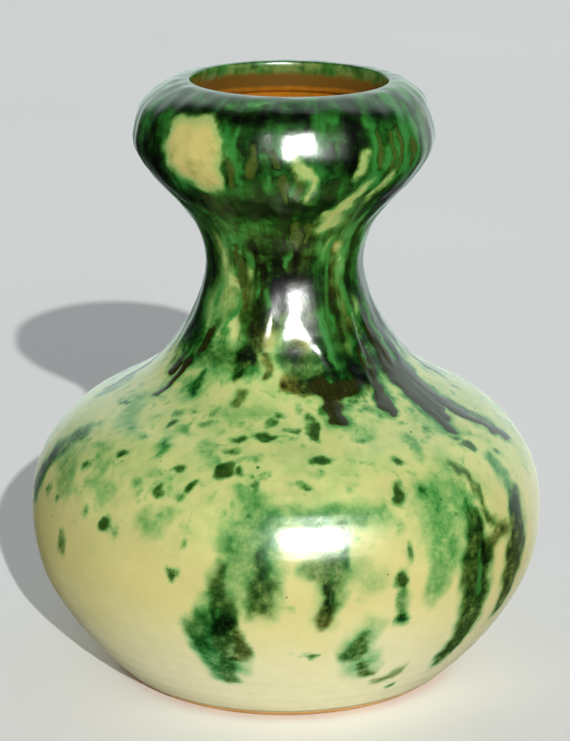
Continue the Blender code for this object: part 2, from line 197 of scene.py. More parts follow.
# Crisp dark runs of the coat, each a chain of (azimuth, height, half width)
DARK_RUNS = (
    ((19.4, 78.6, 2.2), (19.2, 76.2, 2.0), (18.8, 74.8, 2.6)),
    ((16, 80.6, 2.6), (23, 79.4, 2.8), (30, 79.8, 2.5), (33, 80.8, 1.6)),
    ((46, 88, 1.3), (45, 84, 2.0), (43.5, 81, 1.4), (42.5, 78, 1.5), (41, 75.8, 2.0), (40, 74, 1.0)),
    ((59, 91, 2.0), (60, 85, 2.6), (58.6, 80, 2.8), (57, 76, 2.5), (56, 72, 2.1), (54.4, 69, 1.4)),
    ((64, 80, 2.2), (61.5, 74.8, 2.3), (59.8, 71, 1.5)),
    ((70, 80, 2.2), (66.8, 74, 2.0), (67, 69.5, 1.8), (72, 66, 1.6), (78, 62.4, 1.0)),
    ((-49, 91, 1.0), (-50, 88, 1.2), (-50.5, 86, 0.9)),
    ((-60, 84.6, 1.4), (-64, 80.4, 1.4)),
    ((-55, 84, 1.2), (-57, 80.6, 1.5), (-59.8, 75.8, 1.0)),
)

# Spots, as (azimuth, height, half width, half height, lean in degrees, darkness up to 1)
SPOTS = (
    # upper belly, left
    (-40, 72.4, 1.0, 0.9, 0, 0.95), (-40.6, 74.2, 1.3, 1.3, 0, 0.5), (-26.5, 75.3, 1.0, 1.6, 0, 0.5),
    (-27.5, 73.4, 1.4, 0.8, 0, 0.45), (-36, 69, 1.5, 1.5, 0, 0.45), (-18, 74, 1.0, 0.8, 0, 0.35),
    (-7.5, 75.5, 1.1, 0.7, 0, 0.3), (-12, 73.6, 0.8, 0.8, 0, 0.3), (-1.3, 75.8, 0.4, 0.4, 0, 0.9),
    (-14.3, 71.5, 1.5, 0.9, 0, 0.85), (-6.6, 72.2, 2.2, 1.1, 0, 1.0), (-4.6, 74.2, 0.7, 1.2, -30, 0.7),
    (-16, 66.5, 1.7, 1.7, 0, 1.0), (-18.3, 68.5, 0.8, 1.0, 30, 0.5), (-12.2, 66.8, 0.8, 0.8, 0, 0.8),
    (-28.6, 65.4, 1.2, 0.8, 0, 0.95), (-35, 64, 1.2, 0.9, 0, 0.4), (-47.6, 66.2, 1.3, 0.9, 20, 0.85),
    (-38, 61.2, 1.4, 1.1, 0, 0.5), (-30.3, 61, 1.2, 1.1, 0, 0.85), (-30, 63, 0.8, 1.2, 0, 0.4),
    (-22.8, 62.7, 1.7, 0.8, 35, 0.9), (-25.6, 61, 0.8, 0.8, 20, 0.6), (-7.6, 64.4, 0.8, 1.3, -10, 0.6),
    (-57, 61, 1.1, 1.0, 0, 0.6), (-47.8, 55.6, 0.7, 1.2, 0, 0.3), (-62.6, 51.8, 0.4, 0.4, 0, 0.9),
    (-43, 50.8, 1.6, 1.2, 0, 1.0), (-41, 51, 1.4, 1.4, 0, 0.45), (-24.5, 43.7, 1.4, 1.4, 0, 0.95),
    (-22.4, 51.1, 0.3, 0.3, 0, 0.9), (-68, 72.6, 1.6, 0.6, 40, 0.75), (-74, 74.5, 1.3, 0.5, 40, 0.5),
    (-32, 57.4, 1.0, 0.8, 0, 0.3), (-59, 66, 1.6, 0.8, 30, 0.35), (-56, 56, 1.2, 1.6, 0, 0.2),
    (-13, 46.6, 0.6, 0.4, 0, 0.3), (-45, 59, 0.8, 0.6, 0, 0.3), (-53, 70.4, 1.6, 0.9, 20, 0.35),
    # upper belly, right
    (4, 73.2, 1.4, 0.9, 0, 0.85), (9.8, 72.8, 1.2, 2.2, 0, 1.0), (8.8, 75.4, 0.6, 1.0, 15, 0.7),
    (27, 76.8, 1.2, 0.6, 0, 0.8), (49, 73.3, 1.8, 0.7, -15, 0.45), (29.6, 75.6, 0.8, 0.5, 0, 0.4),
    (9.9, 68.5, 1.6, 0.9, 0, 0.95), (21.5, 69, 1.0, 0.8, 0, 0.2), (17, 68.2, 1.2, 0.8, 0, 0.3),
    (30.5, 66.8, 1.3, 0.9, -30, 0.9), (56, 65.6, 1.9, 1.1, -30, 1.0), (60.5, 67.2, 1.8, 0.5, -35, 0.5),
    (65.6, 62.6, 1.2, 0.7, -40, 0.8), (16.5, 63, 1.2, 1.2, 0, 0.3), (27.2, 60.8, 1.3, 2.1, 0, 0.95),
    (33.2, 61, 0.4, 0.7, 0, 0.8), (35, 60.4, 1.0, 1.4, 0, 0.4), (25, 53.6, 1.0, 1.3, 0, 0.4),
    (27.3, 47.7, 0.9, 1.8, 0, 0.65), (25, 42.2, 1.6, 1.7, 0, 1.0), (25, 32, 1.1, 1.1, 0, 0.8),
    (23.6, 66, 1.0, 0.6, 0, 0.2), (4, 64.6, 0.3, 0.3, 0, 0.7), (8, 57, 1.4, 1.0, 0, 0.35),
    (44.6, 56, 1.0, 2.4, 0, 0.4), (59, 62, 1.4, 0.6, -20, 0.3), (51, 67, 1.2, 0.7, -20, 0.25),
    # lower belly
    (1.7, 25, 0.8, 0.5, 0, 0.35), (5.3, 23.3, 0.5, 0.4, 0, 0.95), (30, 8.8, 1.4, 0.7, 20, 0.7),
    (-10, 9.5, 1.2, 0.5, 0, 0.2), (15.6, 38.2, 1.2, 0.9, 0, 0.25), (0.6, 36.9, 1.0, 0.7, 0, 0.3),
)

# Cream windows in the coat, as (azimuth, height, half width, half height, lean in degrees)
CREAM_WINDOWS = (
    (-36.5, 137.9, 9.8, 9.0, -20), (-31, 132.5, 5.0, 5.4, -10),
    (152, 136, 4.6, 6.5, 10), (232, 135, 1.8, 5.0, 0),
)

# Cream streaks left in the coat, as chains of (azimuth, height, half width)
CREAM_RUNS = (
    ((3.6, 140, 1.2), (6, 136.6, 1.7), (9.6, 133, 1.9), (11.6, 130.4, 1.6), (10.4, 126.6, 1.4)),
    ((31, 138, 1.2), (30, 135, 1.4), (28, 132, 1.0)),
    ((35, 130.5, 1.2), (30, 126, 2.1), (25, 121.5, 2.9), (21, 118.5, 2.4)),
    ((46, 132, 1.3), (42.5, 128.6, 1.6), (39, 126, 1.3)),
)

# Olive-brown fingers in the coat, as chains of (azimuth, height, half width)
FINGERS = (
    ((-12, 139.6, 1.1), (-12, 136, 1.4), (-12.4, 133.6, 0.9)),
    ((0, 133, 0.9), (0, 129.5, 1.4), (-0.4, 126.6, 0.9)),
    ((5, 134, 0.8), (5.4, 130.5, 1.1), (6.4, 127, 0.9)),
    ((-20, 137, 0.9), (-20, 133.4, 1.2), (-19.6, 130.6, 0.8)),
    ((38, 142, 0.7), (38, 138, 1.1), (38.4, 134.6, 0.8)),
    ((44, 141, 0.8), (43.4, 135.4, 1.3), (43, 131, 0.9)),
    ((48, 142, 0.7), (48.4, 137, 1.2), (48, 132.6, 0.8)),
    ((56, 140, 0.8), (56, 136.4, 1.1), (55.6, 133.6, 0.7)),
    ((-5, 139.6, 1.1), (-2.6, 137.4, 1.4)),
    ((-33, 112, 0.9), (-34, 107.6, 1.3), (-32.4, 103.6, 0.9)),
    ((7, 120, 1.2), (8, 116, 1.5), (7, 112.6, 1.0)),
    ((14, 120, 0.9), (14.4, 115, 1.1)),
)

# Emerald streaks in the coat, as chains of (azimuth, height, half width)
EMERALD = (
    ((3, 116, 0.3), (2.4, 112, 0.5), (1.4, 110, 1.0), (1.6, 107.8, 0.8)),
    ((32, 115, 0.5), (31, 108, 0.5), (30.4, 100, 0.5), (30, 92, 0.6)),
    ((-13, 102, 0.8), (-13, 98.4, 0.9)),
    ((-20, 107, 0.35), (-20, 100, 0.4)),
    ((-25.4, 109.8, 0.6), (-25, 107.4, 0.6)),
    ((-28, 116, 0.7), (-28, 113, 0.8)),
    ((-37, 106.6, 0.5), (-37.4, 105, 0.5)),
    ((-31, 99, 0.5), (-32, 97, 0.6), (-38, 94.4, 0.7), (-38.6, 91, 0.8)),
    ((-51, 101, 0.7), (-51, 97, 0.7)),
    ((45, 103, 0.5), (47, 98, 0.6), (50, 93.4, 0.6)),
    ((24, 96, 0.8), (25, 89, 1.0), (26, 84, 0.8)),
    ((64, 96, 0.8), (65, 88, 1.0), (66, 82, 0.7)),
    ((-18.6, 144, 0.8), (-19.6, 138, 0.9), (-17.6, 134, 0.9), (-16.4, 130.8, 0.6)),
    ((4, 132, 0.6), (4, 128.6, 0.8)), ((8, 130, 0.5), (8, 127.6, 0.6)),
    ((-6, 133, 0.6), (-6, 129.6, 0.8)),
    ((35, 141, 0.9), (34.6, 135, 0.8)), ((41, 139, 0.9), (40.4, 133, 0.8)),
    ((46.4, 141, 0.7), (46, 134, 0.6)), ((52, 142, 1.2), (52.4, 132, 1.0)),
    ((60, 143, 1.5), (59.4, 132, 1.0)),
    ((45.6, 86, 0.4), (45.2, 83, 0.5)), ((-59.5, 85.4, 1.0), (-60.5, 83.8, 0.8)),
    ((-20, 84.6, 0.5), (-17, 84.4, 0.5)),
    ((9.3, 45.4, 0.35), (9.3, 38, 0.3)), ((46.4, 44, 0.8), (46.6, 33, 0.9)),
    ((-14.8, 35.8, 0.4), (-14.8, 34.2, 0.4)), ((-7.4, 72.0, 0.6), (-6, 72.1, 0.4)),
    ((12.3, 54, 0.3), (12.3, 49, 0.4)),
)


# ---------------------------------------------------------------- sections read from the frame

def section_loop(node):
    """The (radius, height) points of a turned node's section in mm, in order round the loop."""
    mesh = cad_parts[node].data
    points = {}
    names = []
    for vertex in mesh.vertices:
        x, y, z = (value / MM for value in vertex.co)
        x -= MOUTH_OFFSET * smooth_step(*OFFSET_RISE, z)
        key = (round(x, 3), round(z, 3)) if abs(y) < 0.002 and x > -0.002 else None
        names.append(key)
        if key is not None:
            points[key] = (max(x, 0.0), z)
    links = {key: set() for key in points}
    for edge in mesh.edges:
        a, b = (names[i] for i in edge.vertices)
        if a is not None and b is not None and a != b:
            links[a].add(b)
            links[b].add(a)
    ends = [key for key, near in links.items() if len(near) == 1]
    here = min(ends or links)
    walk = [here]
    while True:
        ahead = [key for key in links[here] if key not in walk]
        if not ahead:
            return np.array([points[key] for key in walk])
        here = min(ahead, key=lambda key: math.dist(key, here))
        walk.append(here)


def coat_face(node):
    """The face of a thin coat that lies away from the clay, running up the outside or down the cavity."""
    loop = section_loop(node)
    closed = np.vstack([loop, loop[:1]])
    steps = np.linalg.norm(np.diff(closed, axis=0), axis=1)
    first, second = sorted(np.argsort(steps)[:2])
    sides = [loop[first + 1:second + 1], np.vstack([loop[second + 1:], loop[:first + 1]])]
    if loop[:, 0].min() < 0.01:
        face = min(sides, key=lambda side: side[:, 0].max())
        return face if face[0, 0] > face[-1, 0] else face[::-1]
    face = max(sides, key=lambda side: side[:, 0].max())
    return face if face[0, 1] < face[-1, 1] else face[::-1]


# ---------------------------------------------------------------- profiles

def smooth_curve(points, per_span=24):
    """A centripetal Catmull-Rom curve through points."""
    points = np.vstack([2 * points[0] - points[1], points, 2 * points[-1] - points[-2]])
    curve = []
    for p0, p1, p2, p3 in zip(points, points[1:], points[2:], points[3:]):
        t1 = np.linalg.norm(p1 - p0) ** 0.5
        t2 = t1 + np.linalg.norm(p2 - p1) ** 0.5
        t3 = t2 + np.linalg.norm(p3 - p2) ** 0.5
        t = np.linspace(t1, t2, per_span, endpoint=False)[:, None]
        a1 = ((t1 - t) * p0 + t * p1) / t1
        a2 = ((t2 - t) * p1 + (t - t1) * p2) / (t2 - t1)
        a3 = ((t3 - t) * p2 + (t - t2) * p3) / (t3 - t2)
        b1 = ((t2 - t) * a1 + t * a2) / t2
        b2 = ((t3 - t) * a2 + (t - t1) * a3) / (t3 - t1)
        curve.append(((t2 - t) * b1 + (t - t1) * b2) / (t2 - t1))
    return np.vstack([*curve, points[-2][None]])


def run_lengths(curve):
    steps = np.linalg.norm(np.diff(curve, axis=0), axis=1)
    return np.concatenate([[0], np.cumsum(steps)])


def resample(curve, rows, start=0.0, end=None):
    """Evenly spaced points between two lengths along a curve."""
    run = run_lengths(curve)
    at = np.linspace(start, run[-1] if end is None else end, rows)
    return np.stack([np.interp(at, run, curve[:, k]) for k in (0, 1)], axis=1)


def outward(curve):
    """Unit normals on the right of the way the curve runs, which is out of the clay."""
    along = np.gradient(curve, axis=0)
    along /= np.linalg.norm(along, axis=1)[:, None]
    return np.stack([along[:, 1], -along[:, 0]], axis=1)


def smooth_step(low, high, value):
    share = np.clip((value - low) / (high - low), 0, 1)
    return share * share * (3 - 2 * share)


def run_lift():
    """How far the running coat stands over the glaze under it, in mm."""
    return (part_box("run_glaze")[1].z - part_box("outer_glaze")[1].z) / MM


def outside_profile():
    """The outside face from the foot over the lip into the mouth, and how far along the lip is."""
    glazed = coat_face("outer_glaze")
    cover = smooth_step(*RUN_FADE, glazed[:, 1]) * run_lift()
    outline = smooth_curve(glazed + outward(smooth_curve(glazed, 24))[::24] * cover[:, None])
    liner = smooth_curve(coat_face("liner_glaze"))
    into_mouth = liner[(run_lengths(liner) < INNER_LAP) & (liner[:, 1] < LIP_CORNER[1] - 0.8)]
    joined = np.vstack([resample(outline, 70), [LIP_CORNER], resample(into_mouth, 8)])
    return smooth_curve(joined, 12), run_lengths(outline)[-1]


def crowded(curve, rows, edge_run):
    """Rows along the outside, closer together where it is most painted and round the lip."""
    run = run_lengths(curve)
    height = curve[:, 1]
    painted = smooth_step(50, 62, height) * (1 - smooth_step(92, 100, height))
    weight = 1 + 0.6 * painted + 5 * np.exp(-(((run - edge_run) / 2.2) ** 2))
    total = np.concatenate([[0], np.cumsum((weight[1:] + weight[:-1]) / 2 * np.diff(run))])
    at = np.interp(np.linspace(0, total[-1], rows), total, run)
    return np.stack([np.interp(at, run, curve[:, k]) for k in (0, 1)], axis=1)


def azimuths(columns):
    """Azimuths in radians once round, closer together at the front."""
    even = np.linspace(-math.pi, math.pi, columns, endpoint=False)
    return even - CROWDING * np.sin(even)


def settle(points):
    """Points in metres with the mouth set to one side and tilted."""
    x, z = points[..., 0] / MM, points[..., 2] / MM
    tilting = smooth_step(*TILT_RISE, z)
    moved = np.array(points)
    moved[..., 0] += MOUTH_OFFSET * smooth_step(*OFFSET_RISE, z) * MM
    moved[..., 2] += (LIP_LIFT - LIP_TILT * x) * tilting * MM
    return moved


# ---------------------------------------------------------------- noise and painted fields

def waves(points, wavelength, seed, count=18):
    """Smooth noise of about -1 to 1 over 3-D points, as a sum of plane waves."""
    rng = np.random.default_rng(seed)
    ways = rng.normal(size=(count, 3))
    ways /= np.linalg.norm(ways, axis=1)[:, None]
    pitch = math.tau / (wavelength * rng.uniform(0.7, 1.5, count))
    phase = rng.uniform(0, math.tau, count)
    total = np.zeros(points.shape[:-1])
    for way, k, shift in zip(ways, pitch, phase):
        total += np.sin(points @ way * k + shift)
    return total * math.sqrt(2 / count)


class Canvas:
    """The outside as a map that keeps shapes: azimuth across, and length over radius up."""

    def __init__(self, profile, columns):
        radius = profile[:, 0]
        run = run_lengths(profile)
        self.crest = profile[:, 1].argmax()
        self.heights = profile[: self.crest + 1, 1]
        self.run = run
        middle = (radius[1:] + radius[:-1]) / 2
        self.up = np.concatenate([[0], np.cumsum(np.diff(run) / middle)])
        azimuth = azimuths(columns)
        self.azimuth = azimuth
        self.radius = np.repeat(radius[:, None], columns, axis=1)
        self.points = np.stack([
            radius[:, None] * np.sin(azimuth),
            -radius[:, None] * np.cos(azimuth),
            np.repeat(profile[:, 1][:, None], columns, axis=1),
        ], axis=-1)
        drift = self.points * (1.0, 1.0, 0.7)
        aside = 0.22 * waves(drift, 9.0, 11) + 0.42 * waves(drift, 4.2, 13)
        along = 0.22 * waves(drift, 8.0, 12) + 0.42 * waves(drift, 4.6, 14)
        self.across_map = azimuth[None] + aside / self.radius
        self.up_map = self.up[:, None] + along / self.radius

    def up_at(self, height):
        return np.interp(height, self.heights, self.up[: self.crest + 1])

    def run_at(self, height):
        return np.interp(height, self.heights, self.run[: self.crest + 1])

    def offset_from(self, azimuth, up):
        """Distances across and up from a place on the map, in mm at the point's own radius."""
        across = (self.across_map - azimuth + math.pi) % math.tau - math.pi
        return across * self.radius, (self.up_map - up) * self.radius

    def inside_chain(self, chain):
        """Depth in mm inside a chain of (azimuth, height, half width), negative outside it."""
        best = np.full(self.radius.shape, -99.0)
        stops = [(math.radians(a), self.up_at(z), w) for a, z, w in chain]
        for (a0, u0, w0), (a1, u1, w1) in zip(stops, stops[1:]):
            dx, dy = self.offset_from(a0, u0)
            sx, sy = (a1 - a0) * self.radius, (u1 - u0) * self.radius
            t = np.clip((dx * sx + dy * sy) / (sx * sx + sy * sy), 0, 1)
            depth = w0 + (w1 - w0) * t - np.hypot(dx - sx * t, dy - sy * t)
            best = np.maximum(best, depth)
        return best

    def inside_spot(self, azimuth, height, half_width, half_height, lean=0):
        """Depth in mm inside a leaning oval."""
        dx, dy = self.offset_from(math.radians(azimuth), self.up_at(height))
        c, s = math.cos(math.radians(lean)), math.sin(math.radians(lean))
        x, y = c * dx + s * dy, -s * dx + c * dy
        size = math.sqrt(half_width * half_height)
        return size * (1 - np.hypot(x / half_width, y / half_height))

    def union(self, depths):
        best = np.full(self.radius.shape, -9.0)
        for depth in depths:
            best = np.maximum(best, depth)
        return best


def random_marks(rng):
    """Marks for the back and sides in the manner of the front, and small dots all round."""
    dark, soft, spots, clouds, emeralds, fingers = [], [], [], [], [], []
    for azimuth in np.arange(92, 268, 13.0):
        a = azimuth + rng.uniform(-4, 4)
        top, low = rng.uniform(83, 89), rng.uniform(67, 80)
        width = rng.uniform(0.8, 1.9)
        dark.append(((a, top, width), (a + rng.uniform(-2, 2), (top + low) / 2, width * 0.8),
                     (a + rng.uniform(-3, 3), low, width * rng.uniform(0.6, 1.1))))
        soft.append((1.4, 0.8, 0.3, ((a + 6, low + 3, 0.8), (a + 6.5, low - 1, 0.9))))
    for azimuth in (104, 126, 147, 169, 192, 216, 239, 258):
        a = azimuth + rng.uniform(-5, 5)
        top = rng.uniform(46, 60)
        low = top - rng.uniform(14, 30)
        width = rng.uniform(1.2, 2.4)
        middle = (top + low) / 2
        soft.append((3.0, 0.5, 0.0, ((a + 4, top + 4, 1.5), (a + 3, middle, 4.0), (a + 2, low, 2.0))))
        soft.append((1.5, 0.35, rng.uniform(0.6, 1.5), ((a, top - 4, 0.5), (a - 0.6, middle, width),
                                                       (a, low, width * 0.8))))
    for _ in range(84):
        size = rng.uniform(0.5, 1.7)
        spots.append((rng.uniform(84, 276), rng.triangular(38, 67, 78), size,
                      size * rng.uniform(0.5, 1.1), rng.uniform(-35, 35), rng.uniform(0.2, 1.0)))
    for azimuth in (98, 127, 158, 186, 221, 252):
        a = azimuth + rng.uniform(-6, 6)
        clouds.append((a, rng.uniform(134, 146), rng.uniform(3, 6), rng.uniform(3, 8), 0.2, 2.4))
        clouds.append((a + 12, rng.uniform(96, 114), 2.2, 9.0, -0.5, 1.4))
        emeralds.append(((a - 12, 142, 0.8), (a - 12, 132, 0.9)))
        emeralds.append(((a - 8, 108, 0.6), (a - 7, 92, 0.7)))
        fingers.append(((a - 17, 140, 0.5), (a - 17, 134, 0.6)))
    for _ in range(90):
        size = rng.uniform(0.4, 1.25)
        spots.append((rng.uniform(-76, 80), rng.triangular(50, 72, 86), size * rng.uniform(0.8, 1.4),
                      size * rng.uniform(0.6, 1.2), rng.uniform(-35, 35), rng.uniform(0.15, 0.62)))
    return dark, soft, spots, clouds, emeralds, fingers


def paint(canvas):
    """The painted fields on the outside, as arrays over its points."""
    rng = np.random.default_rng(5)
    dark_runs, soft_runs, spots, clouds, emeralds, fingers = random_marks(rng)
    across, height = canvas.azimuth, canvas.points[..., 2]

    edge = np.array(sorted(COAT_EDGE), float)
    edge_height = np.interp(np.degrees(across), edge[:, 0], edge[:, 1], period=360)
    coat = canvas.run[:, None] - canvas.run_at(edge_height)[None]
    coat = coat + 1.0 * waves(canvas.points * (1, 1, 0.12), 5.0, 21)

    def oval(azimuth, z, half_width, half_height):
        dx, dy = canvas.offset_from(math.radians(azimuth), canvas.up_at(z))
        return np.exp(-1.2 * ((dx / half_width) ** 2 + (dy / half_height) ** 2) ** 1.3)

    pale = np.zeros_like(height)
    for *place, lost in PALE:
        pale = np.maximum(pale, lost * oval(*place))
    copper = np.zeros_like(height)
    manganese = np.zeros_like(height)
    for *place, more_copper, more_manganese in (*CLOUDS, *clouds):
        share = oval(*place) * (1 - pale)
        copper += more_copper * share
        manganese += more_manganese * share
    for soft, more_copper, more_manganese, chain in (*SOFT_RUNS, *soft_runs):
        depth = canvas.inside_chain(chain)
        copper += more_copper * smooth_step(-1.3 * soft, 0.5 * soft, depth)
        manganese += more_manganese * smooth_step(-0.6 * soft, 0.6 * soft, depth)
    spot = np.zeros_like(height)
    for *place, darkness in (*SPOTS, *spots):
        depth = canvas.inside_spot(*place)
        spot = np.maximum(spot, darkness * smooth_step(-2.1, 1.0, depth))

    return {
        "copper": copper, "manganese": manganese, "coat": coat, "pale": pale, "spot": spot,
        "dark": canvas.union([canvas.inside_chain(chain) for chain in (*DARK_RUNS, *dark_runs)]),
        "cream": canvas.union([canvas.inside_chain(chain) for chain in CREAM_RUNS]
                              + [canvas.inside_spot(*window) for window in CREAM_WINDOWS]),
        "finger": canvas.union([canvas.inside_chain(chain) for chain in (*FINGERS, *fingers)]),
        "emerald": canvas.union([canvas.inside_chain(chain) for chain in (*EMERALD, *emeralds)]),
    }


# ---------------------------------------------------------------- meshes

def grid_object(name, front, back=None):
    """A closed skin from rows of points: the front rows, then the back rows in return.

    A row of one point is a pole. Without back rows, the front rows close on themselves.
    """
    rows = [*front, *(back if back is not None else [])]
    starts, points = [], []
    for row in rows:
        starts.append(len(points))
        points.extend(row)
    faces = []
    for i, row in enumerate(rows):
        j = (i + 1) % len(rows)
        near, far = len(row), len(rows[j])
        if near == 1 and far == 1:
            continue
        for k in range(max(near, far)):
            corners = (
                starts[i] + k % near, starts[i] + (k + 1) % near,
                starts[j] + (k + 1) % far, starts[j] + k % far,
            )
            faces.append(tuple(dict.fromkeys(corners)))
    mesh = bpy.data.meshes.new(name)
    mesh.from_pydata([tuple(p) for p in points], [], faces)
    mesh.shade_smooth()
    obj = bpy.data.objects.new(name, mesh)
    bpy.context.scene.collection.objects.link(obj)
    return obj


def turned_rows(profile, columns):
    """Rows of 3-D points in metres round Z for a (radius, height) profile in mm."""
    azimuth = azimuths(columns)
    rows = []
    for radius, height in profile * MM:
        if radius < 1e-6:
            rows.append([(0.0, 0.0, height)])
        else:
            x, y = radius * np.sin(azimuth), -radius * np.cos(azimuth)
            rows.append(np.stack([x, y, np.full(columns, height)], axis=1))
    return rows


def add_field(mesh, name, values, kind="FLOAT"):
    attribute = mesh.attributes.new(name, kind, "POINT")
    flat = np.asarray(values, np.float32).ravel()
    attribute.data.foreach_set("vector" if kind == "FLOAT_VECTOR" else "value", flat)


def relief(canvas, fields):
    """How far each point of the glaze stands proud of the turned profile, in mm."""
    edge = smooth_step(-2.5, 3.5, fields["coat"])
    marks = smooth_step(-0.8, 2.0, fields["dark"]) * (1 - 0.75 * edge)
    streaks = waves(canvas.points * (1, 1, 0.15), 4.5, 31)
    window = smooth_step(-0.4, 1.2, fields["cream"]) * edge
    swell = 0.10 * waves(canvas.points, 55.0, 32) + 0.05 * waves(canvas.points, 22.0, 33)
    rings = 0.030 * np.sin(math.tau * canvas.points[..., 2] / 3.4 + canvas.azimuth[None])
    thin = 0.30 * edge + 0.16 * marks + 0.06 * streaks * edge - 0.12 * window
    return thin - 0.30 * smooth_step(80, 95, canvas.points[..., 2]) + swell + rings


def glaze_skin(material):
    """The outer glaze and the running coat as one melted skin, from the foot over the lip."""
    curve, edge_run = outside_profile()
    profile = crowded(curve, GLAZE_ROWS, edge_run)
    canvas = Canvas(profile, GLAZE_COLUMNS)
    fields = paint(canvas)
    fields["inside"] = np.repeat((canvas.run - edge_run)[:, None], GLAZE_COLUMNS, axis=1)
    fields["height"] = canvas.points[..., 2]

    normal = outward(profile)
    fade = smooth_step(0, 6, canvas.run)[:, None] * smooth_step(-1, 3, edge_run - canvas.run)[:, None]
    proud = relief(canvas, fields) * fade
    sin, cos = np.sin(canvas.azimuth), np.cos(canvas.azimuth)
    radius = profile[:, 0][:, None] + normal[:, 0][:, None] * proud
    height = profile[:, 1][:, None] + normal[:, 1][:, None] * proud
    front = settle(np.stack([radius * sin, -radius * cos, height], axis=-1) * MM)
    depth = GLAZE_DEPTH + run_lift() * smooth_step(*RUN_FADE, profile[:, 1])
    at_lip = smooth_step(6, 1, edge_run - canvas.run)
    depth = depth + (LIP_DEPTH - depth) * at_lip
    behind = resample(profile - normal * depth[:, None], BACK_ROWS)[::-1]
    back = [settle(row) for row in turned_rows(behind, GLAZE_COLUMNS)]
    obj = grid_object("glaze_skin", front, back)

    extra = BACK_ROWS * GLAZE_COLUMNS
    flow = np.stack([
        np.repeat(30 * sin[None], GLAZE_ROWS, axis=0),
        np.repeat(-30 * cos[None], GLAZE_ROWS, axis=0),
        np.repeat(canvas.run[:, None], GLAZE_COLUMNS, axis=1),
    ], axis=-1)
    add_field(obj.data, "flow", np.concatenate([flow.reshape(-1, 3), np.zeros((extra, 3))]), "FLOAT_VECTOR")
    for name, values in fields.items():
        add_field(obj.data, name, np.concatenate([values.ravel(), np.zeros(extra)]))
    obj.data.materials.append(material)
    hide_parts("outer_glaze", "run_glaze")
    return obj


def liner_skin(material):
    """The amber glaze inside, from under the lip to the middle of the floor."""
    face = smooth_curve(coat_face("liner_glaze"))
    front = resample(face, LINER_ROWS, start=INNER_LAP - LAP_OVER)
    normal = outward(front)
    lapped = smooth_step(2 * LAP_OVER, LAP_OVER, run_lengths(front))
    front = front - normal * (LAP_DROP * lapped)[:, None]
    front[-1, 0] = 0.0
    normal[-1] = (0, 1)
    behind = resample(front - normal * 0.9 * GLAZE_DEPTH, LINER_ROWS // 3)[::-1]
    behind[0, 0] = 0.0
    front, back = (
        [settle(np.array(row)) for row in turned_rows(side, LINER_COLUMNS)] for side in (front, behind)
    )
    obj = grid_object("liner_skin", front, back)
    obj.data.materials.append(material)
    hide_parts("liner_glaze")
    return obj


def clay_bowl(material):
    """The lower bowl with its trimmed foot, turned finely from the CAD section."""
    loop = section_loop("belly_bowl")
    obj = grid_object("clay_bowl", turned_rows(loop, CLAY_COLUMNS))
    obj.data.set_sharp_from_angle(angle=math.radians(35))
    obj.data.materials.append(material)
    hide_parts("belly_bowl")
    return obj


# ---------------------------------------------------------------- shader helpers

